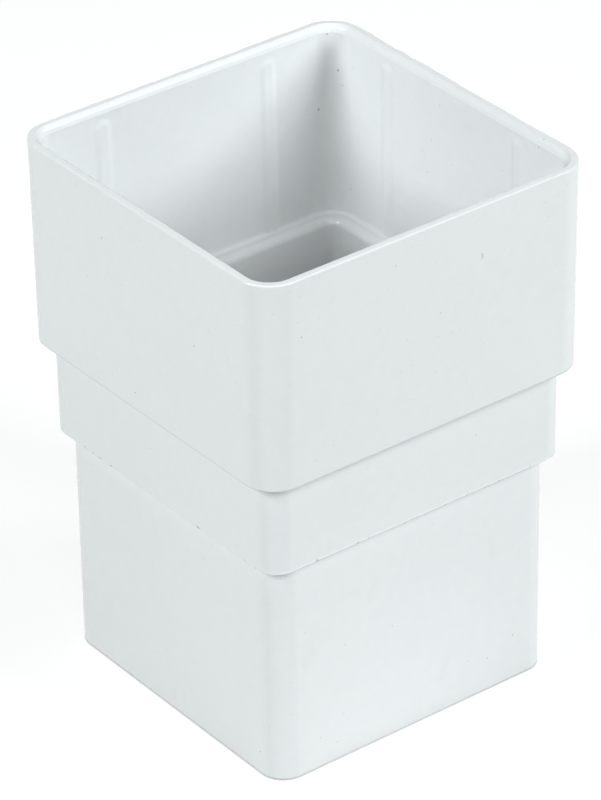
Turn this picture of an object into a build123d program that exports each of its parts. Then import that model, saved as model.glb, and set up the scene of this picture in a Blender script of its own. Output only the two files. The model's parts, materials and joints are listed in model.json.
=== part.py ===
from build123d import *
import os
from math import radians, tan

# Downspout socket: a square downpipe connector, moulded in one piece.
# The pipe above stands in the collar, the shoulder carries on the pipe's outline,
# and the spigot enters the pipe below. Z is up, and the origin is at the centre
# of the spigot's end.

# The pipe that the connector joins
pipe_outside = 65.0
pipe_wall = 1.7
pipe_corner_radius = 4.3

# Room on each side of a fit
rib_clearance = 0.1
spigot_clearance = 0.1

# Lengths along the pipe
spigot_length = 44.8
shoulder_length = 18.6
socket_depth = 37.9

# Wall and draft of the moulding
wall = 2.2
draft = 0.42
spigot_draft = 0.12

# Corners seen from above
socket_corner_radius = 4.15
spigot_corner_radius = 4.8
bore_corner_radius = 2.6

# Edges seen in section
rim_edge_radius = 0.25
spigot_end_radius = 0.6
ledge_fillet = 0.4
ledge_flat = 0.6

# Lead-in at the mouth of the socket
lead_in_width = 0.95
lead_in_depth = 1.5

# Centring ribs, a pair on each wall of the socket
rib_width = 4.0
rib_height = 0.3
rib_inset = 14.5
rib_top_gap = 2.3
rib_flank_angle = 60.0

# Levels, measured up from the spigot's end
collar_base = spigot_length + shoulder_length
bore_step = spigot_length + wall
pipe_stop = collar_base + wall
rim = pipe_stop + socket_depth

# How much a drafted square narrows for each millimetre of depth
narrowing = 2 * tan(radians(draft))

# Widths of the tiers and of the hollows, each at its top
socket_at_stop = pipe_outside + 2 * (rib_clearance + rib_height)
socket_width = socket_at_stop + narrowing * socket_depth
collar_width = socket_width + 2 * wall
shoulder_width = pipe_outside
shoulder_bore = shoulder_width - 2 * wall + narrowing * wall
spigot_width = pipe_outside - 2 * (pipe_wall + spigot_clearance)
spigot_bore = spigot_width - 2 * wall

# Widths of the two inner ledges, from wall to bore
stop_ledge = (socket_at_stop - shoulder_bore) / 2
bore_ledge = (shoulder_bore - narrowing * (pipe_stop - bore_step) - spigot_bore) / 2


def drafted_block(top, length, width, radius, angle):
    """A rounded square that hangs from its top level and narrows downwards by its draft."""
    with BuildSketch(Plane.XY.offset(top)) as outline:
        RectangleRounded(width, width, radius)
    extrude(outline.sketch, amount=-length, taper=angle)


def level_faces(body):
    """The level faces of a stepped body, from the lowest to the highest."""
    return body.faces().filter_by(Axis.Z).sort_by(Axis.Z)


# The hollow of the connector, as the core of its mould
with BuildPart() as core:
    # The socket that the pipe above stands in
    drafted_block(rim, socket_depth, socket_width, socket_corner_radius, draft)
    socket_walls = core.faces().filter_by(GeomType.PLANE).sort_by(Axis.Z)[1:-1]
    fillet(level_faces(core)[0].edges(), ledge_fillet)

    # Each centring rib is a shallow groove here, round at its top, that runs out past the ledge
    rib_length = socket_depth - rib_top_gap + rib_width
    rib_middle = socket_depth - rib_top_gap - rib_length / 2
    rib_offset = pipe_outside / 2 - rib_inset
    for socket_wall in socket_walls:
        wall_foot = socket_wall.edges().sort_by(Axis.Z)[0]
        outward = socket_wall.normal_at()
        across = Vector(0, 0, 1).cross(outward)
        with BuildSketch(Plane(wall_foot @ 0.5, x_dir=across, z_dir=outward)):
            with Locations((-rib_offset, rib_middle), (rib_offset, rib_middle)):
                SlotOverall(rib_length, rib_width, rotation=90)
        extrude(amount=-rib_height, taper=rib_flank_angle, mode=Mode.SUBTRACT)

    # The bore through the shoulder, with the pipe's stop ledge rounded over into it
    drafted_block(pipe_stop, pipe_stop - bore_step, shoulder_bore, bore_corner_radius, draft)
    fillet(level_faces(core)[1].inner_wires()[0].edges(), stop_ledge - ledge_fillet - ledge_flat)

    # The bore through the spigot, with the second ledge rounded over into it
    drafted_block(bore_step, bore_step, spigot_bore, bore_corner_radius, spigot_draft)
    fillet(level_faces(core)[1].inner_wires()[0].edges(), bore_ledge - ledge_flat)

# The connector: three tiers outside, less the core
with BuildPart() as socket_body:
    drafted_block(spigot_length, spigot_length, spigot_width, spigot_corner_radius, spigot_draft)
    drafted_block(collar_base, shoulder_length, shoulder_width, pipe_corner_radius, draft)
    drafted_block(rim, rim - collar_base, collar_width, socket_corner_radius + wall, draft)
    fillet(level_faces(socket_body)[0].edges(), spigot_end_radius)
    fillet(level_faces(socket_body)[-1].edges(), rim_edge_radius)
    add(core.part, mode=Mode.SUBTRACT)

    # The lead-in that guides the pipe's end past the rim
    rim_face = level_faces(socket_body)[-1]
    mouth_edges = rim_face.inner_wires()[0].edges()
    chamfer(mouth_edges, length=lead_in_width, length2=lead_in_depth, reference=rim_face)

socket_body.part.label = "socket_body"

os.makedirs("parts", exist_ok=True)
export_step(socket_body.part, "parts/socket_body.step")

size = socket_body.part.bounding_box().size
print(f"socket_body: {size.X:.2f} x {size.Y:.2f} x {size.Z:.2f} mm")
print(f"volume: {socket_body.part.volume / 1000:.2f} cm3")
print(f"stop ledge at {pipe_stop:.2f} mm, {stop_ledge:.2f} mm wide; bore ledge {bore_ledge:.2f} mm wide")
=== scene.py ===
# %% [markdown]
# # A downspout socket
# A downspout socket joins two lengths of square rainwater pipe. It is one injection moulding in
# white rigid PVC: a wide collar that the upper pipe stands in, a shoulder as wide as the pipe, and
# a narrower spigot that enters the lower pipe. The lesson loads the finished solid as a fixed
# frame, draws the same moulding again as a fine surface with its small edges and ribs, and then
# gives it a plastic finish, a floor, soft light and a camera.

# %% Load the frame
import json
import math

import bpy
import numpy as np
from mathutils import Matrix, Vector


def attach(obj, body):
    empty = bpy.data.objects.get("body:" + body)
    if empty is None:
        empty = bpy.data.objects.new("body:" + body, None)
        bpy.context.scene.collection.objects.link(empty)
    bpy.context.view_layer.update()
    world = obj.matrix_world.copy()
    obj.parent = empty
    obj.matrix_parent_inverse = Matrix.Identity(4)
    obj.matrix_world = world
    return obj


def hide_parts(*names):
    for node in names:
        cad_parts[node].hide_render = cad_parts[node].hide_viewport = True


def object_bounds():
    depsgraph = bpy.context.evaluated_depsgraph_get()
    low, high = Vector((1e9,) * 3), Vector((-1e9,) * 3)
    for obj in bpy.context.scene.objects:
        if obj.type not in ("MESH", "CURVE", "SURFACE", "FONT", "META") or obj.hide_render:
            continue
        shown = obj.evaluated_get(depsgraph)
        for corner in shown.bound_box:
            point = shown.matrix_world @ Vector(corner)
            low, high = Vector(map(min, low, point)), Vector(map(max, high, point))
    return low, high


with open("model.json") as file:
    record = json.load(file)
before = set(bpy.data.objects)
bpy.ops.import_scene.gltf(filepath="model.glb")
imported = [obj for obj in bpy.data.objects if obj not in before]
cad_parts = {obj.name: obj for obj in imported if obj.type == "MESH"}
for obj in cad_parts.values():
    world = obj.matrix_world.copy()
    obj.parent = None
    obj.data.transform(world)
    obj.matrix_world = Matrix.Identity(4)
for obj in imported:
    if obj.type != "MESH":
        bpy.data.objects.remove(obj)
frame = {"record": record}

cad_low, cad_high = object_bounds()
print("solid box in mm:", [round(1000 * side, 2) for side in cad_high - cad_low])

# %% [markdown]
# ## Sizes
# The solid already says where everything is: its box gives the rim and the outer width, and its
# stated mounts give the level of the pipe's stop and of the shoulder's underside. Only the sizes
# that the frame doesn't state are written here. All lengths are in metres, so a millimetre is
# named once and multiplied.

# %% Levels and widths
MM = 0.001
mounts = {mount["name"]: mount["pos_m"] for mount in frame["record"]["mounts"]}

rim = cad_high.z
pipe_stop = mounts["pipe_stop"][2]
shoulder_base = mounts["lower_pipe_stop"][2]
wall = 2.2 * MM
collar_base = pipe_stop - wall
bore_step = shoulder_base + wall

pipe_outside = 65.0 * MM
spigot_outside = 61.4 * MM
draft = math.tan(math.radians(0.42))
spigot_draft = math.tan(math.radians(0.12))

collar_half = cad_high.x
shoulder_half = pipe_outside / 2
spigot_half = spigot_outside / 2
socket_half = collar_half - wall
shoulder_bore_half = shoulder_half - wall
spigot_bore_half = spigot_half - wall
print("levels in mm:", [round(level / MM, 2) for level in (shoulder_base, collar_base, pipe_stop, rim)])

# %% [markdown]
# ## Drawing a section
# A moulding like this is easiest to draw as a die maker would: as the outline of its wall in
# section. Each point of the outline is a half width, a level, and the distance of the corner's
# centre from the middle. A drafted wall narrows while its corner centre stays where it is, so the
# corner's radius is simply the half width less that distance. Two small helpers make all of it: a
# straight run, and an arc.

# %% Section helpers
def run(start, end, count, ease=0.0):
    """Points on a straight line: start plus share times the way to end.

    With ease above 0, the first and last points close up towards the ends by that length,
    so that smooth shading stays flat right up to the next arc.
    """
    start = np.asarray(start, float)
    end = np.asarray(end, float)
    shares = np.linspace(0.0, 1.0, count)
    length = np.linalg.norm(end[:2] - start[:2])
    if ease:
        shares = np.concatenate([[0.0], np.linspace(ease / length, 1.0 - ease / length, count), [1.0]])
    return start + shares[:, None] * (end - start)


def arc(centre, radius, start, end, corner, steps):
    """Points on an arc: centre plus radius times the cosine and sine of angles from start to end."""
    angles = np.radians(np.linspace(start, end, steps + 1))
    half_width = centre[0] + radius * np.cos(angles)
    level = centre[1] + radius * np.sin(angles)
    return np.column_stack([half_width, level, np.full(steps + 1, corner)])


# %% Corner centres
collar_radius = 6.35 * MM
shoulder_radius = 4.3 * MM
spigot_radius = 4.8 * MM
bore_radius = 2.6 * MM


def corner_centre(half_width, radius):
    """Distance of a rounded corner's centre from the middle of the pipe."""
    return half_width - radius


collar_corner = corner_centre(collar_half, collar_radius)
shoulder_corner = corner_centre(shoulder_half, shoulder_radius)
spigot_corner = corner_centre(spigot_half, spigot_radius)
shoulder_bore_corner = corner_centre(shoulder_bore_half, bore_radius)
spigot_bore_corner = corner_centre(spigot_bore_half, bore_radius)
outer_corners = (collar_corner, shoulder_corner, spigot_corner)
print("outer corner centres in mm:", [round(corner / MM, 2) for corner in outer_corners])

# %% [markdown]
# ## The outside of the wall
# The tool that moulds the outside leaves its edges nearly sharp, and only the spigot's end is round
# enough to find its way into the next pipe. Even a sharp edge is a tenth or a quarter of a
# millimetre round, and that round is what catches the light, so each one is drawn as an arc.
#
# Two small faults belong to the moulding as well. On two opposite sides the wall sank a little
# below each step, where the plastic is thick and cooled last, and the collar's lower edge is
# rounder. On the other two, a bead of flash runs along the shoulder's lower edge, where the halves
# of the mould meet. So the section is drawn twice with the same points, once for each pair of sides.

# %% Sizes of the outer edges
rim_edge = 0.25 * MM
step_edge = 0.12 * MM
worn_edge = 0.25 * MM
step_root = 0.1 * MM
spigot_edge = 0.6 * MM
support = 0.12 * MM
edge_steps = 5

sink_depth = 0.32 * MM
sink_length = 2.1 * MM
sink_reach = 3 * sink_length
bead_height = 0.06 * MM
bead_width = 0.18 * MM
bead_reach = 4 * bead_width
bead_rise = 0.2 * MM
bead_level = shoulder_base + bead_rise

collar_foot_half = collar_half - draft * (rim - collar_base)
shoulder_foot_half = shoulder_half - draft * (collar_base - shoulder_base)
spigot_foot_half = spigot_half - spigot_draft * shoulder_base
foot_halves = (collar_foot_half, shoulder_foot_half, spigot_foot_half)
print("half widths at the feet in mm:", [round(half / MM, 2) for half in foot_halves])


# %% One tier and the step under it
def outer_tier(top_half, top, foot_half, foot, corner, foot_edge, count, sink=0.0, bead=0.0):
    """A drafted wall from its top to its foot, then the rounded edge under it.

    A sink moves the wall in by its depth times a bell curve of the distance below the top, and a
    bead moves it out by its height times a narrow bell curve about the bead's level.
    """
    wall_top = np.array((top_half, top, corner))
    wall_foot = np.array((foot_half, foot + foot_edge, corner))
    below_sink = sink_reach / (top - foot)
    above_bead = 1.0 - bead_reach / (top - foot)
    upper = wall_top + below_sink * (wall_foot - wall_top)
    lower = wall_top + above_bead * (wall_foot - wall_top)
    wall_run = np.vstack([
        run(wall_top, upper, count=14, ease=support)[:-1],
        run(upper, lower, count),
        run(lower, wall_foot, count=10, ease=support)[1:],
    ])
    level = wall_run[:, 1]
    wall_run[:, 0] -= sink * np.exp(-((top - level) / sink_length) ** 2)
    wall_run[:, 0] += bead * np.exp(-((level - bead_level) / bead_width) ** 2)
    edge = arc((foot_half - foot_edge, foot + foot_edge), foot_edge, 0, -90, corner, edge_steps)
    return [wall_run, edge[1:]]


def step_under(from_half, to_half, level, from_corner, to_corner):
    """The level underside of a step, then the tight root where the next wall starts."""
    start = (from_half - support, level, from_corner)
    end = (to_half + step_root + support, level, to_corner)
    root = arc((to_half + step_root, level - step_root), step_root, 90, 180, to_corner, steps=3)
    return [run(start, end, count=3), root]


# %% Both outer sections
def outer_section(collar_edge, sink, bead):
    """From the rim down the three tiers, with a sink below each step and a bead on the shoulder."""
    rim_centre = (collar_half - rim_edge, rim - rim_edge)
    points = [arc(rim_centre, rim_edge, 90, 0, collar_corner, edge_steps)[:-1]]
    points += outer_tier(
        collar_half, rim - rim_edge, collar_foot_half, collar_base,
        collar_corner, collar_edge, count=6,
    )
    points += step_under(
        collar_foot_half - collar_edge, shoulder_half - sink, collar_base,
        collar_corner, shoulder_corner,
    )
    points += outer_tier(
        shoulder_half, collar_base - step_root - support, shoulder_foot_half, shoulder_base,
        shoulder_corner, step_edge, count=4, sink=sink, bead=bead,
    )
    points += step_under(
        shoulder_foot_half - step_edge, spigot_half - sink, shoulder_base,
        shoulder_corner, spigot_corner,
    )
    points += outer_tier(
        spigot_half, shoulder_base - step_root - support, spigot_foot_half, cad_low.z,
        spigot_corner, spigot_edge, count=8, sink=sink,
    )
    return np.vstack(points)


outer_x = outer_section(step_edge, 0.0, bead_height)
outer_y = outer_section(worn_edge, sink_depth, 0.0)
print("outer section points:", len(outer_x))

# %% [markdown]
# ## The inside of the wall
# Going up through the bore, the section meets a ledge where the spigot opens into the shoulder,
# then the ledge that the upper pipe stops on. Both are rounded over into the bore, so that water
# and leaves slide past.

# %% Sizes of the bore and its ledges
end_edge = 0.2 * MM
bore_round = 1.08 * MM
stop_round = 1.58 * MM
ledge_fillet = 0.8 * MM
ledge_radius = 5.3 * MM

spigot_bore_foot = spigot_bore_half - spigot_draft * shoulder_base
shoulder_bore_top = shoulder_bore_half + draft * (pipe_stop - collar_base)
shoulder_bore_foot = shoulder_bore_top - draft * (pipe_stop - bore_step)
socket_foot = socket_half - draft * (rim - pipe_stop)
ledge_corner = corner_centre(socket_foot, ledge_radius)
print("stop ledge's width in mm:", round((socket_foot - shoulder_bore_top) / MM, 2))


# %% Inner section
def ledge(bore_half, bore_corner, wall_half, wall_corner, level, rounding, fillet):
    """A ledge in the bore: rounded over from the bore, then level as far as the next wall's fillet."""
    over = arc((bore_half + rounding, level - rounding), rounding, 180, 90, bore_corner, steps=10)
    flat = run(
        (bore_half + rounding + support / 2, level, bore_corner),
        (wall_half - fillet - support / 2, level, wall_corner), count=3,
    )
    return [over, flat]


end_centre = (spigot_bore_foot + end_edge, cad_low.z + end_edge)
step_centre = (shoulder_bore_foot - end_edge, bore_step + end_edge)
inner = [
    run((spigot_foot_half - spigot_edge - support, cad_low.z, spigot_corner),
        (spigot_bore_foot + end_edge + support, cad_low.z, spigot_bore_corner), count=3),
    arc(end_centre, end_edge, -90, -180, spigot_bore_corner, steps=3),
    run((spigot_bore_foot, cad_low.z + end_edge + support, spigot_bore_corner),
        (spigot_bore_half, bore_step - bore_round - support, spigot_bore_corner), count=12),
]
inner += ledge(spigot_bore_half, spigot_bore_corner, shoulder_bore_foot, shoulder_bore_corner,
               bore_step, bore_round, end_edge)
inner += [
    arc(step_centre, end_edge, -90, 0, shoulder_bore_corner, steps=3),
    run((shoulder_bore_foot, bore_step + end_edge + support, shoulder_bore_corner),
        (shoulder_bore_top, pipe_stop - stop_round - support, shoulder_bore_corner), count=8),
]
inner += ledge(shoulder_bore_top, shoulder_bore_corner, socket_foot, ledge_corner,
               pipe_stop, stop_round, ledge_fillet)
inner = np.vstack(inner)
print("inner section points below the socket:", len(inner))

# %% [markdown]
# ## The socket's wall and lead-in
# The socket's wall rises from a fillet, leans out by its draft and ends in a rounded lead-in that
# guides the pipe's end. Its corners are rounder at the ledge than at the mouth. The lead-in is an
# arc that leans well out at the crisp mouth edge and turns steeper on its way down, then a short
# steep facet brings it into the wall, where the two halves of the core meet in a faint ridge. The
# ribs need closely spaced levels at their round tops and few below.

# %% Sizes of the socket
rib_top_gap = 2.3 * MM
rib_top = rim - rib_top_gap
rib_width = 4.0 * MM
rim_flat = 1.36 * MM
mouth_half = collar_half - rim_flat
mouth_edge = 0.08 * MM
lead_in_depth = 1.25 * MM
lead_in_foot_angle = 36.0
lead_in_mouth_angle = 64.0
facet_angle = 16.0
facet_depth = 0.68 * MM
facet_end_in = 0.03 * MM
facet_end_down = 0.06 * MM
ridge_height = 0.015 * MM
ridge_width = 0.09 * MM


def socket_wall(level):
    """Half width of the drafted wall at a level."""
    return socket_foot + draft * (level - pipe_stop)


print("mouth's width in mm:", round(2 * mouth_half / MM, 2))

# %% Lead-in
foot_angle = math.radians(lead_in_foot_angle)
mouth_angle = math.radians(lead_in_mouth_angle)
facet_width = facet_depth * math.tan(math.radians(facet_angle))
facet_half = socket_wall(rim - lead_in_depth) + facet_width
lead_in_radius = (mouth_half - facet_half) / (math.cos(foot_angle) - math.cos(mouth_angle))
facet_top = rim - mouth_edge - lead_in_radius * (math.sin(mouth_angle) - math.sin(foot_angle))
lead_in_foot = facet_top - facet_depth
lead_in_centre = (
    mouth_half + lead_in_radius * math.cos(mouth_angle),
    facet_top - lead_in_radius * math.sin(foot_angle),
)
lead_in = arc(
    lead_in_centre, lead_in_radius,
    180 - lead_in_foot_angle, 180 - lead_in_mouth_angle, collar_corner, steps=12,
)
facet = run(
    (facet_half - facet_width, lead_in_foot, collar_corner),
    (facet_half - facet_end_in, facet_top - facet_end_down, collar_corner), count=5,
)
mouth_round = arc(
    (mouth_half + mouth_edge, rim - mouth_edge), mouth_edge,
    180 - lead_in_mouth_angle, 90, collar_corner, steps=2,
)
print("lead-in depth in mm:", round((rim - lead_in_foot) / MM, 2))

# %% Socket wall
straight_ribs = (pipe_stop + ledge_fillet + support, rib_top - 1.4 * rib_width)
round_tops = (rib_top - 1.2 * rib_width, rib_top + support)
above_ribs = (rib_top + 2 * support, lead_in_foot - support / 2)
levels = np.concatenate([
    np.linspace(*straight_ribs, num=10),
    np.linspace(*round_tops, num=34),
    np.linspace(*above_ribs, num=12),
])
risen = (levels - pipe_stop) / (rim - pipe_stop)
wall_corner = ledge_corner + risen * (collar_corner - ledge_corner)
plain_wall = np.column_stack([socket_wall(levels), levels, wall_corner])
plain_wall[:, 0] -= ridge_height * np.exp(-((levels - lead_in_foot + ridge_width) / ridge_width) ** 2)

fillet_centre = (socket_foot - ledge_fillet, pipe_stop + ledge_fillet)
socket = np.vstack([
    arc(fillet_centre, ledge_fillet, -90, 0, ledge_corner, steps=8),
    plain_wall,
    facet,
    lead_in,
])
print("socket section points:", len(socket))

# %% The whole section
mouth = np.vstack([
    mouth_round[1:],
    run((mouth_half + mouth_edge + support, rim, collar_corner),
        (collar_half - rim_edge - support, rim, collar_corner), count=4),
])
section_x = np.vstack([outer_x, inner, socket, mouth])
section_y = np.vstack([outer_y, inner, socket, mouth])
first_socket_row = len(outer_x) + len(inner)
print("section points:", len(section_x))

# %% [markdown]
# ## Carrying the section round the pipe
# The section is carried along a rounded square. One quarter of the path is a side and then a
# corner; the other three are the same, turned. On the side the path is a share of the corner
# centre's distance, and in the corner it is an angle, so one grid of shares and angles serves
# every point of the section. In the corners the section of one pair of sides blends into that of
# the other. The two centring ribs on each socket wall are pushed in from the same grid: their
# height is a smooth step of the distance inside a round-topped outline.

# %% Path round the pipe
rib_offset = 18.0 * MM
rib_height = 0.25 * MM
rib_flank = 1.45 * MM
rib_margin = 0.3 * MM
rib_columns = 25
middle_columns = 7
corner_steps = 16

rib_reach = rib_width / 2 + rib_margin
rib_zone = np.linspace(rib_offset - rib_reach, rib_offset + rib_reach, rib_columns) / collar_corner
plain_middle = np.linspace(0.0, rib_zone[0], middle_columns)[:-1]
plain_end = np.array([0.86, 0.95, 0.992])
half_side = np.concatenate([plain_middle, rib_zone, plain_end])
side_shares = np.concatenate([-half_side[:0:-1], half_side])
corner_angles = np.linspace(0.0, math.pi / 2, corner_steps + 1)
turned = np.concatenate([np.zeros(len(side_shares)), np.sin(corner_angles) ** 2])
print("path points in a quarter:", len(turned))


# %% Ribs
def rib_push(across, level):
    """How far the wall stands in: rib height times a smooth step of the depth inside the rib's outline.

    The outline is a strip with a round top, so the depth inside is half the width less the distance
    from the strip's middle line, which ends half a width below the top.
    """
    beside = np.abs(across) - rib_offset
    beyond = np.maximum(level - (rib_top - rib_width / 2), 0.0)
    inside = rib_width / 2 - np.hypot(beside, beyond)
    share = np.clip(inside / rib_flank, 0.0, 1.0)
    return rib_height * share * share * (3.0 - 2.0 * share)


# %% Sweep the section
def quarter_turn(first, second):
    """Points of one side and the corner after it: one row for each section point.

    The section is the first one on the side and blends into the second one by the sine squared of
    the corner's angle. A side's point is (half width less any rib, distance across), where the
    distance scales with the corner centre beyond the ribs. A corner's point is the corner centre
    plus the radius along its angle.
    """
    corner = first[:, 2:]
    half_width, z = (
        first[:, [column]] + turned * (second - first)[:, [column]] for column in (0, 1)
    )
    level = first[:, 1:2]
    side_half = half_width[:, :len(side_shares)]
    ribs_end = np.abs(side_shares) <= rib_zone[-1]
    across = side_shares * np.where(ribs_end, collar_corner, corner)
    row = np.arange(len(first))[:, None]
    push = rib_push(across, level)
    ribbed = (push > 0) & (row >= first_socket_row) & (row < first_socket_row + len(socket))
    side_x = np.where(ribbed, np.minimum(side_half, socket_wall(level) - push), side_half)
    radius = half_width[:, len(side_shares):] - corner
    corner_x = corner + radius * np.cos(corner_angles)
    corner_y = corner + radius * np.sin(corner_angles)
    return np.hstack([side_x, corner_x]), np.hstack([across, corner_y]), z


def sweep(on_x, on_y):
    """Grid of points: the quarters after an X side and a Y side, each turned to both its places."""
    first_x, first_y, first_z = quarter_turn(on_x, on_y)
    second_x, second_y, second_z = quarter_turn(on_y, on_x)
    x = np.hstack([first_x, -second_y, -first_x, second_y])
    y = np.hstack([first_y, second_x, -first_y, -second_x])
    z = np.hstack([first_z, second_z, first_z, second_z])
    return np.stack([x, y, z], axis=-1)


grid = sweep(section_x, section_y)
print("grid:", grid.shape[:2])

# %% [markdown]
# ## From grid to mesh
# The section closes on itself and so does the path, so the grid wraps both ways, like a square
# doughnut. Each face takes a point, its neighbour along the path and the two beside them on the
# next row of the section. Smooth shading suits the whole piece, because every edge is a real arc.

# %% Build the mesh
def closed_grid_mesh(name, grid):
    """A mesh with one face per grid cell, wrapped round in both directions."""
    rows, columns = grid.shape[:2]
    row, column = np.meshgrid(np.arange(rows), np.arange(columns), indexing="ij")
    next_row = (row + 1) % rows
    next_column = (column + 1) % columns
    corners = [row * columns + column, next_row * columns + column,
               next_row * columns + next_column, row * columns + next_column]
    faces = np.stack(corners, axis=-1).reshape(-1, 4)
    mesh = bpy.data.meshes.new(name)
    mesh.from_pydata(grid.reshape(-1, 3), [], faces.tolist())
    mesh.polygons.foreach_set("use_smooth", np.ones(len(faces), bool))
    mesh.update()
    return mesh


body_mesh = closed_grid_mesh("socket_moulding", grid)
moulding = bpy.data.objects.new("socket_moulding", body_mesh)
bpy.context.scene.collection.objects.link(moulding)
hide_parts("socket_body")
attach(moulding, "root")
print("faces:", len(body_mesh.polygons))


# %% Check which way the faces point
def signed_volume(grid):
    """Sum over the grid's cells of the volume between each cell and the origin."""
    a = grid
    b = np.roll(grid, -1, axis=0)
    c = np.roll(b, -1, axis=1)
    d = np.roll(grid, -1, axis=1)
    first = np.einsum("ijk,ijk->", a, np.cross(b, c))
    second = np.einsum("ijk,ijk->", a, np.cross(c, d))
    return (first + second) / 6.0


print("volume in cm3, positive when the faces point outwards:", round(signed_volume(grid) * 1e6, 2))

# %% [markdown]
# ## Where dust settles
# Dust and scorched specks are few on the outside and gather inside the socket, most of all on one
# wall. A number at each point of the mesh says what share of the possible specks shows there. It
# comes from the grid's own rows and columns, so it follows the wall exactly.

# %% Dust attribute
outside_dust = 0.3
socket_dust = 0.4
dusty_wall_dust = 0.95

rows, columns = grid.shape[:2]
dust = np.full((rows, columns), outside_dust)
socket_rows = slice(first_socket_row, first_socket_row + len(socket))
quarter = columns // 4
dust[socket_rows] = socket_dust
dust[socket_rows, quarter:2 * quarter] = dusty_wall_dust
dust_attribute = body_mesh.attributes.new("dust", "FLOAT", "POINT")
dust_attribute.data.foreach_set("value", dust.ravel().astype(np.float32))
print("mean share of specks:", round(float(dust.mean()), 3))

# %% [markdown]
# ## White PVC
# The plastic is a cool white with a satin gloss. What keeps it from looking like paint is small:
# the colour drifts by about a percent, the gloss varies with handling, the skin has the faint
# ripple of a cooled moulding, and tiny dark specks of scorched resin sit in it. Each effect is a
# function that adds a few nodes and hands back one value. All of them read Object coordinates, so
# they stay put on the piece whatever the camera does.

# %% Node helpers
def add_node(tree, kind, **settings):
    """A new node of that kind, with its properties set by name."""
    node = tree.nodes.new(kind)
    for name, value in settings.items():
        setattr(node, name, value)
    return node


def feed(tree, socket, term):
    """Gives a socket a number or a colour, or links another node's output to it."""
    if isinstance(term, bpy.types.NodeSocket):
        tree.links.new(term, socket)
    else:
        socket.default_value = term


def calculate(tree, operation, *terms):
    """The result of one Math node on numbers or outputs."""
    node = add_node(tree, "ShaderNodeMath", operation=operation)
    for socket, term in zip(node.inputs, terms):
        feed(tree, socket, term)
    return node.outputs[0]


# %% More node helpers
def fade(tree, value, start, end, low=0.0, high=1.0):
    """A smooth step of a value: low at start, high at end, and an S-shaped rise between."""
    node = add_node(tree, "ShaderNodeMapRange", interpolation_type="SMOOTHSTEP")
    terms = {"Value": value, "From Min": start, "From Max": end, "To Min": low, "To Max": high}
    for name, term in terms.items():
        feed(tree, node.inputs[name], term)
    return node.outputs["Result"]


def grain(tree, place, size, detail=2.0, stretch=(1.0, 1.0, 1.0)):
    """Noise from 0 to 1 whose blotches are about the given size in metres."""
    mapping = add_node(tree, "ShaderNodeMapping")
    feed(tree, mapping.inputs["Vector"], place)
    feed(tree, mapping.inputs["Scale"], stretch)
    noise = add_node(tree, "ShaderNodeTexNoise")
    feed(tree, noise.inputs["Vector"], mapping.outputs["Vector"])
    feed(tree, noise.inputs["Scale"], 1.0 / size)
    feed(tree, noise.inputs["Detail"], detail)
    return noise.outputs[0]


def tint(tree, share, first, second):
    """A colour between two others, by a share from 0 to 1.

    A Mix node has sockets of the same name for each kind of data, so its colours go by number.
    """
    share_socket, first_socket, second_socket, colour_output = 0, 6, 7, 2
    node = add_node(tree, "ShaderNodeMix", data_type="RGBA")
    feed(tree, node.inputs[share_socket], share)
    feed(tree, node.inputs[first_socket], first)
    feed(tree, node.inputs[second_socket], second)
    return node.outputs[colour_output]


# %% [markdown]
# ## Specks in the resin
# Scorched specks are scattered through the whole thickness, so a three-dimensional cell pattern is
# the natural way to place them: each cell may hold one speck at its middle, and only those that the
# surface cuts are seen. The cell's own random colour decides whether there is a speck, how big it
# is and how dark. One pattern holds the few clear specks, and a closer one the fine pale ones.

# %% Specks
speck_spacing = 2.5 * MM
speck_sizes = (0.09 * MM, 0.23 * MM)
speck_depths = (0.25, 0.9)
fine_spacing = 1.3 * MM
fine_sizes = (0.06 * MM, 0.14 * MM)
fine_depths = (0.08, 0.45)
fine_share = 0.5
growth_start = 0.5
speck_core = 0.5


def resin_specks(tree, place, share, spacing, sizes, depths):
    """Mask of specks: the depth where the distance to a chosen cell's middle is under its radius.

    Where more of the cells are chosen, their specks are larger too.
    """
    cells = add_node(tree, "ShaderNodeTexVoronoi")
    feed(tree, cells.inputs["Vector"], place)
    feed(tree, cells.inputs["Scale"], 1.0 / spacing)
    chances = add_node(tree, "ShaderNodeSeparateColor")
    feed(tree, chances.inputs["Color"], cells.outputs["Color"])
    chosen = calculate(tree, "LESS_THAN", chances.outputs["Red"], share)
    small, large = (size / spacing for size in sizes)
    radius = fade(tree, chances.outputs["Green"], 0.0, 1.0, small, large)
    radius = calculate(tree, "MULTIPLY", radius, calculate(tree, "ADD", share, growth_start))
    core = calculate(tree, "MULTIPLY", radius, speck_core)
    dot = fade(tree, cells.outputs["Distance"], radius, core)
    depth = fade(tree, chances.outputs["Blue"], 0.0, 1.0, *depths)
    return calculate(tree, "MULTIPLY", calculate(tree, "MULTIPLY", dot, chosen), depth)


def all_specks(tree, place):
    """The darker of the clear specks, as many as the dust attribute says, and the fine ones."""
    dust_share = add_node(tree, "ShaderNodeAttribute", attribute_name="dust").outputs["Fac"]
    clear = resin_specks(tree, place, dust_share, speck_spacing, speck_sizes, speck_depths)
    fine = resin_specks(tree, place, fine_share, fine_spacing, fine_sizes, fine_depths)
    return calculate(tree, "MAXIMUM", clear, fine)


print("possible clear specks per cubic cm:", round((10 * MM / speck_spacing) ** 3))
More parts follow.
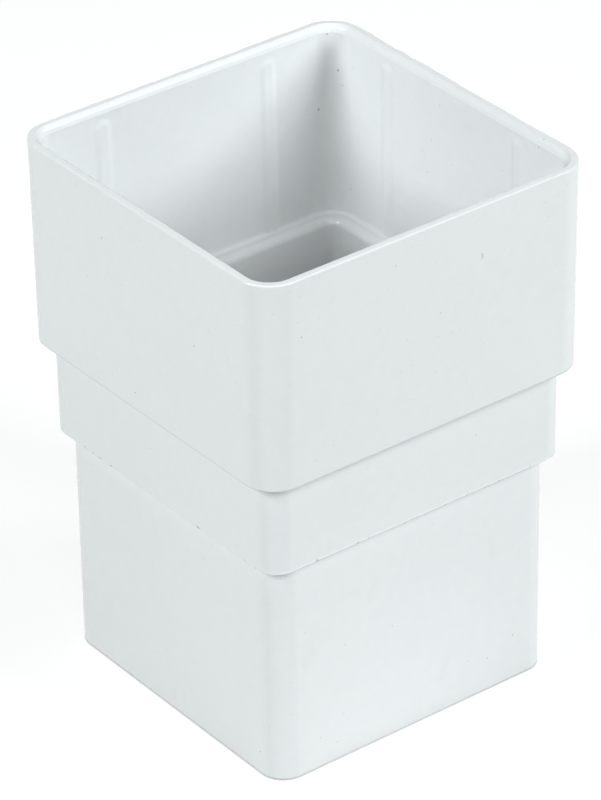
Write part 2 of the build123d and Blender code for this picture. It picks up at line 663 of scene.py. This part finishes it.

# %% [markdown]
# ## Marks and painted shade
# Two kinds of mark show on the real thing: a stray fibre moulded into the collar, and grey smudges
# from handling. Two more are painted shade: dark flecks along the shoulder's lower edge, where the
# two halves of the mould meet, paint the shade in small nicks there, and a thin dark line paints the
# shade under the collar's lower edge. The flecks are noise inside a thin band of levels, the shade
# line is such a band without the noise, and the fibre is a short parabola. A band of levels would
# run round the bore as well, so both bands are kept to the outside.

# %% Sizes of the marks
# Painted shade: dark flecks for small nicks along the shoulder's lower edge.
fleck_level = bead_level
fleck_band = 0.3 * MM
fleck_size = 1.1 * MM
fleck_range = (0.6, 0.7)
# Painted shade: a dark line under the collar's lower edge.
shade_line_level = collar_base
shade_line_band = 0.45 * MM
shade_line_depth = 0.42
band_core = 0.4
outside_from = (shoulder_bore_half + spigot_half) / 2

fibre_across = 10.95 * MM
fibre_level = 93.8 * MM
fibre_length = 1.5 * MM
fibre_thickness = 0.14 * MM
fibre_core = 0.3
fibre_bend = 420.0
face_depth = 0.6 * MM
print("fleck level in mm:", round(fleck_level / MM, 2))


# %% Painted shade on the edges
def level_band(tree, level, middle, reach):
    """One at a level, falling smoothly to zero at the reach above and below it."""
    off_level = calculate(tree, "ABSOLUTE", calculate(tree, "SUBTRACT", level, middle))
    return fade(tree, off_level, reach, band_core * reach)


def painted_nick_shade(tree, place, level):
    """Mask of painted shade flecks for small nicks: noise above a threshold, inside a band about the
    edge's level.
    """
    nicked = fade(tree, grain(tree, place, fleck_size), *fleck_range)
    return calculate(tree, "MULTIPLY", level_band(tree, level, fleck_level, fleck_band), nicked)


def painted_shade_line(tree, level):
    """Mask of the painted shade line: a share of a band about the collar's lower edge."""
    return calculate(tree, "MULTIPLY", level_band(tree, level, shade_line_level, shade_line_band), shade_line_depth)


def outside_only(tree, outward, across):
    """One where a point is further from the middle than the bores reach, and zero inside them."""
    furthest = calculate(
        tree, "MAXIMUM",
        calculate(tree, "ABSOLUTE", outward), calculate(tree, "ABSOLUTE", across),
    )
    return calculate(tree, "GREATER_THAN", furthest, outside_from)


# %% The fibre
def moulded_fibre(tree, outward, across, level):
    """Mask of one fibre on the collar's +X face.

    It is near the curve where the distance across is the fibre's place less its bend times the
    height squared, as far as half its length above and below its middle.
    """
    height = calculate(tree, "SUBTRACT", level, fibre_level)
    bow = calculate(tree, "MULTIPLY", calculate(tree, "MULTIPLY", height, height), -fibre_bend)
    off_curve = calculate(tree, "SUBTRACT", calculate(tree, "SUBTRACT", across, fibre_across), bow)
    off_curve = calculate(tree, "ABSOLUTE", off_curve)
    off_middle = calculate(tree, "ABSOLUTE", height)
    beside = fade(tree, off_curve, fibre_thickness, fibre_core * fibre_thickness)
    along = fade(tree, off_middle, fibre_length / 2, fibre_core * fibre_length)
    on_face = calculate(tree, "GREATER_THAN", outward, collar_half - face_depth)
    return calculate(tree, "MULTIPLY", calculate(tree, "MULTIPLY", beside, along), on_face)


# %% [markdown]
# ## Colour, gloss and skin
# The colour starts between two near whites, then smudges, the fibre, painted shade and specks
# darken it. Gloss is satin and a little duller where hands have been. The skin's height is given in
# metres and goes through one Bump node: a slow ripple left by cooling, fine orange peel, and upright
# drag lines from drawing the part off its core. Ribs, ledges and edges aren't here, because they are
# real geometry.

# %% PVC colour
white_low = (0.802, 0.81, 0.819, 1.0)
white_high = (0.818, 0.825, 0.833, 1.0)
speck_colour = (0.3, 0.3, 0.29, 1.0)
# Colour of the fibre and of the painted shade on the edges.
fibre_and_shade_colour = (0.46, 0.46, 0.45, 1.0)
smudge_colour = (0.78, 0.787, 0.795, 1.0)
drift_size = 40 * MM
mottle_size = 2 * MM
drift_range = (0.75, 1.25)
smudge_size = 9 * MM
smudge_range = (0.66, 0.82)


def pvc_colour(tree, place):
    """Near white with a slow drift and a fine mottle, then smudges, the fibre, painted shade on the
    edges and specks over it.
    """
    parts = add_node(tree, "ShaderNodeSeparateXYZ")
    feed(tree, parts.inputs[0], place)
    outward, across, level = parts.outputs
    mottle = grain(tree, place, mottle_size, detail=4.0)
    drift = calculate(tree, "ADD", grain(tree, place, drift_size), mottle)
    colour = tint(tree, fade(tree, drift, *drift_range), white_low, white_high)
    smudges = fade(tree, grain(tree, place, smudge_size, detail=3.0), *smudge_range)
    colour = tint(tree, smudges, colour, smudge_colour)
    # Painted shade: flecks for nicks on the shoulder's edge and a dark line under the collar's edge.
    painted_shade_on_edges = calculate(tree, "MAXIMUM", painted_nick_shade(tree, place, level), painted_shade_line(tree, level))
    painted_shade_on_edges = calculate(tree, "MULTIPLY", painted_shade_on_edges, outside_only(tree, outward, across))
    marks = calculate(tree, "MAXIMUM", painted_shade_on_edges, moulded_fibre(tree, outward, across, level))
    colour = tint(tree, marks, colour, fibre_and_shade_colour)
    return tint(tree, all_specks(tree, place), colour, speck_colour)


# %% PVC gloss and skin
roughness_low = 0.13
roughness_high = 0.21
gloss_size = 15 * MM
gloss_range = (0.3, 0.75)
ripple_size = 14 * MM
ripple_height = 0.012 * MM
peel_size = 0.8 * MM
peel_height = 0.0012 * MM
drag_size = 1.2 * MM
drag_height = 0.0012 * MM
drag_stretch = (1.0, 1.0, 0.03)


def pvc_roughness(tree, place):
    """Satin gloss that drifts slowly between two values."""
    handling = grain(tree, place, gloss_size, detail=4.0)
    return fade(tree, handling, *gloss_range, roughness_low, roughness_high)


def pvc_normal(tree, place):
    """Bump from a height in metres: slow ripple plus orange peel plus upright drag lines."""
    ripple = calculate(tree, "MULTIPLY", grain(tree, place, ripple_size, detail=1.0), ripple_height)
    peel = calculate(tree, "MULTIPLY", grain(tree, place, peel_size), peel_height)
    lines = grain(tree, place, drag_size, stretch=drag_stretch)
    drag = calculate(tree, "MULTIPLY", lines, drag_height)
    height = calculate(tree, "ADD", calculate(tree, "ADD", ripple, peel), drag)
    bump = add_node(tree, "ShaderNodeBump")
    feed(tree, bump.inputs["Strength"], 1.0)
    feed(tree, bump.inputs["Distance"], 1.0)
    feed(tree, bump.inputs["Height"], height)
    return bump.outputs["Normal"]


# %% Put the finish on
pvc_ior = 1.53


def white_pvc():
    """Satin white plastic: colour, roughness and normal from the functions above."""
    material = bpy.data.materials.new("white_pvc")
    material.use_nodes = True
    tree = material.node_tree
    shader = tree.nodes["Principled BSDF"]
    place = add_node(tree, "ShaderNodeTexCoord").outputs["Object"]
    feed(tree, shader.inputs["Base Color"], pvc_colour(tree, place))
    feed(tree, shader.inputs["Roughness"], pvc_roughness(tree, place))
    feed(tree, shader.inputs["Normal"], pvc_normal(tree, place))
    feed(tree, shader.inputs["IOR"], pvc_ior)
    return material


body_mesh.materials.append(white_pvc())
print("nodes in the finish:", len(body_mesh.materials[0].node_tree.nodes))

# %% [markdown]
# ## A white sheet to stand on
# The socket stands on a white sheet that runs out into a white room. To the camera and to
# reflections the sheet is nearly white by itself, and the light that falls on it adds the rest, so
# the socket's shadow still shows. Under the spigot's rounded end the glow is halved, which is a
# painted contact shadow. To all other light the sheet is plain pale card, which throws a soft glow
# up on the lower walls. Before the right wall the card is painted brighter, a painted pool of light
# where the lamp on that side comes closest.

# %% Sizes and tones of the sheet
floor_size = 0.6
sheet_glow = 0.7
sheet_card = (0.38, 0.38, 0.38, 1.0)
# Painted pool of light: the card is brighter before the right wall.
pool_card = (0.56, 0.56, 0.56, 1.0)
patch_middle = Vector((0.07, -0.005, 0.0))
patch_reach = 0.06
patch_core = 0.4
# Painted contact shadow: the glow is halved under the spigot's rounded end.
contact_shadow_reach = 0.1 * MM
contact_shadow_glow = 0.5
print("floor side in m:", floor_size)


# %% Parts of the sheet's material
def seen_directly(tree):
    """One for camera, glossy and transmission rays, and zero for light that is bouncing about."""
    rays = add_node(tree, "ShaderNodeLightPath")
    shown = calculate(tree, "MAXIMUM", rays.outputs["Is Camera Ray"], rays.outputs["Is Glossy Ray"])
    return calculate(tree, "MAXIMUM", shown, rays.outputs["Is Transmission Ray"])


def painted_light_pool(tree):
    """Mask of the painted pool of light: one at the patch's middle, falling smoothly to zero at its
    reach.
    """
    place = add_node(tree, "ShaderNodeTexCoord").outputs["Object"]
    mapping = add_node(tree, "ShaderNodeMapping")
    feed(tree, mapping.inputs["Vector"], place)
    feed(tree, mapping.inputs["Location"], -patch_middle)
    length = add_node(tree, "ShaderNodeVectorMath", operation="LENGTH")
    feed(tree, length.inputs[0], mapping.outputs["Vector"])
    return fade(tree, length.outputs["Value"], patch_reach, patch_core * patch_reach)


def painted_contact_shadow(tree):
    """The share of glow left by a painted contact shadow: low under the spigot, one just outside its
    rounded square.
    """
    place = add_node(tree, "ShaderNodeTexCoord").outputs["Object"]
    parts = add_node(tree, "ShaderNodeSeparateXYZ")
    feed(tree, parts.inputs[0], place)
    beyond = []
    for axis in parts.outputs[:2]:
        off_corner = calculate(tree, "SUBTRACT", calculate(tree, "ABSOLUTE", axis), spigot_corner)
        beyond.append(calculate(tree, "MAXIMUM", off_corner, 0.0))
    squares = [calculate(tree, "MULTIPLY", length, length) for length in beyond]
    distance = calculate(tree, "SQRT", calculate(tree, "ADD", *squares))
    edge = spigot_foot_half - spigot_corner
    return fade(tree, distance, edge - contact_shadow_reach, edge + contact_shadow_reach, contact_shadow_glow, 1.0)


# %% Lay the sheet
def white_sheet():
    """Pale card that also glows by itself, but only to the camera and to reflections, with a painted
    pool of light in the card and a painted contact shadow in the glow.
    """
    material = bpy.data.materials.new("white_sheet")
    material.use_nodes = True
    tree = material.node_tree
    tree.nodes.clear()
    output = add_node(tree, "ShaderNodeOutputMaterial")
    card = add_node(tree, "ShaderNodeBsdfDiffuse")
    feed(tree, card.inputs["Color"], tint(tree, painted_light_pool(tree), sheet_card, pool_card))
    glow = add_node(tree, "ShaderNodeEmission")
    # The glow carries the painted contact shadow under the spigot.
    shown = calculate(tree, "MULTIPLY", seen_directly(tree), painted_contact_shadow(tree))
    feed(tree, glow.inputs["Strength"], calculate(tree, "MULTIPLY", shown, sheet_glow))
    both = add_node(tree, "ShaderNodeAddShader")
    feed(tree, both.inputs[0], card.outputs[0])
    feed(tree, both.inputs[1], glow.outputs[0])
    feed(tree, output.inputs["Surface"], both.outputs[0])
    return material


reach = floor_size / 2
floor_mesh = bpy.data.meshes.new("floor")
floor_corners = reach * np.array([(-1, -1, 0), (1, -1, 0), (1, 1, 0), (-1, 1, 0)])
floor_corners[:, 2] += cad_low.z
floor_mesh.from_pydata(floor_corners, [], [(0, 1, 2, 3)])
floor_mesh.materials.append(white_sheet())
floor = bpy.data.objects.new("floor", floor_mesh)
bpy.context.scene.collection.objects.link(floor)
print("nodes in the sheet:", len(floor_mesh.materials[0].node_tree.nodes))

# %% [markdown]
# ## A white room
# The room is white to the camera and to reflections. To other light it is almost dark, so that the
# lamps alone shape the socket.

# %% World
room_fill = 0.01


def white_room():
    """A world of strength one to the camera and to reflections, and a faint fill to other light."""
    world = bpy.data.worlds.new("white_room")
    world.use_nodes = True
    tree = world.node_tree
    backdrop = tree.nodes["Background"]
    feed(tree, backdrop.inputs["Color"], (1.0, 1.0, 1.0, 1.0))
    strength = fade(tree, seen_directly(tree), 0.0, 1.0, room_fill, 1.0)
    feed(tree, backdrop.inputs["Strength"], strength)
    return world


bpy.context.scene.world = white_room()
bpy.context.scene.view_settings.view_transform = "Standard"
print("fill to other light:", room_fill)

# %% [markdown]
# ## Soft lamps
# Two softboxes stand a little above the rim, one on each side of the camera, and each lights the
# wall that faces it and, over the rim, the wall inside. A strip further round brightens the back of
# the socket's right wall, and a weak fill comes from the camera's side. One long low lamp stands
# straight behind, so that the hidden walls aren't dark when the socket is turned round. It is lower
# than the rim, so it adds nothing inside. Every lamp has the same distance, so its power alone says
# how much it counts.

# %% Lamps
lamp_distance = 1.2
lamp_target = Vector((0.0, 0.0, 0.06))
lamp_colour = (0.952, 1.0, 0.994)


def softbox(name, azimuth, elevation, width, height, power):
    """A rectangular lamp on a sphere about the target; its azimuth turns from +X towards +Y."""
    data = bpy.data.lights.new(name, "AREA")
    data.shape = "RECTANGLE"
    data.size = width
    data.size_y = height
    data.energy = power
    data.color = lamp_colour
    turn = math.radians(azimuth)
    lift = math.radians(elevation)
    way = Vector((math.cos(turn) * math.cos(lift), math.sin(turn) * math.cos(lift), math.sin(lift)))
    lamp = bpy.data.objects.new(name, data)
    lamp.location = lamp_target + lamp_distance * way
    lamp.rotation_euler = way.to_track_quat("Z", "Y").to_euler()
    bpy.context.scene.collection.objects.link(lamp)
    return lamp


lamps = [
    softbox("softbox_right", azimuth=21, elevation=29, width=0.34, height=0.6, power=9.7),
    softbox("strip_far_right", azimuth=55, elevation=31, width=0.26, height=0.3, power=3.6),
    softbox("softbox_left", azimuth=265, elevation=32, width=0.4, height=0.54, power=11.75),
    softbox("fill_front", azimuth=330, elevation=38, width=0.4, height=0.4, power=2.0),
    softbox("back_low", azimuth=143, elevation=-0.5, width=0.6, height=0.08, power=8.5),
]
print("lamps:", len(lamps), "watts:", round(sum(lamp.data.energy for lamp in lamps), 1))

# %% [markdown]
# ## The camera
# The view is from above the front corner, through a long lens, as a catalogue picture is taken. The
# camera is placed by its azimuth, elevation and distance about the middle of the socket's box, and
# turned a degree about its own axis.

# %% Camera
camera_azimuth = math.radians(52.767)
camera_elevation = math.radians(31.640)
camera_roll = math.radians(-1.004)
camera_distance = 0.8779
camera_lens = 224.38
aim_right = -0.916 * MM
aim_up = 0.860 * MM

back = Vector((
    math.sin(camera_azimuth) * math.cos(camera_elevation),
    -math.cos(camera_azimuth) * math.cos(camera_elevation),
    math.sin(camera_elevation),
))
right = Vector((math.cos(camera_azimuth), math.sin(camera_azimuth), 0.0))
up = back.cross(right)
middle = (cad_low + cad_high) / 2
aim = middle + aim_right * right + aim_up * up
rolled_right = math.cos(camera_roll) * right + math.sin(camera_roll) * up
rolled_up = -math.sin(camera_roll) * right + math.cos(camera_roll) * up

camera_data = bpy.data.cameras.new("camera")
camera_data.lens = camera_lens
camera = bpy.data.objects.new("camera", camera_data)
facing = Matrix((rolled_right, rolled_up, back)).transposed().to_4x4()
camera.matrix_world = Matrix.Translation(aim + camera_distance * back) @ facing
bpy.context.scene.collection.objects.link(camera)
bpy.context.scene.camera = camera
print("camera at:", [round(x, 4) for x in camera.matrix_world.translation])
